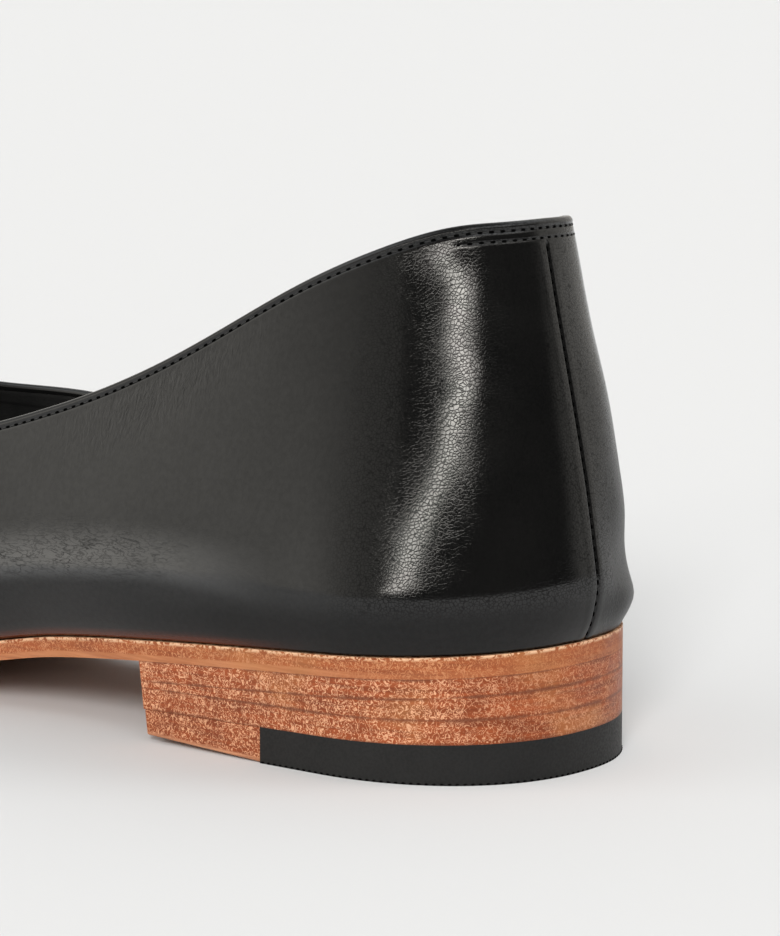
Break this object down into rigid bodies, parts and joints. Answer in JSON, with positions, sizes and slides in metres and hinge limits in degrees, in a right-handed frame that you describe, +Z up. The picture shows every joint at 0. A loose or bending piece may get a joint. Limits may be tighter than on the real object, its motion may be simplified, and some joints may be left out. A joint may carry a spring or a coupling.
{
  "type": "flat shoe",
  "caption": "Left slip-on flat shoe with a hollow black leather upper, a tan leather outsole and a low stacked leather heel with a rubber tip.",
  "frame": {"origin": "on the floor under the middle of the shoe's bounding box", "axes": "+X from heel to toe, +Y to the outer side of a left foot, +Z up from the floor"},
  "size_m": [0.2514, 0.079, 0.0829],
  "materials": {
    "black_leather": "satin",
    "black_lining": "matte",
    "tan_leather": "satin",
    "stacked_leather": "satin",
    "black_rubber": "matte"
  },
  "bodies": {
    "root": {"upper": "black_leather", "insole": "black_lining", "outsole": "tan_leather", "heel_lift_upper": "stacked_leather", "heel_wedge": "stacked_leather", "heel_lift_lower": "stacked_leather", "heel_top_piece": "stacked_leather", "heel_rubber_tip": "black_rubber"}
  },
  "joints": []
}
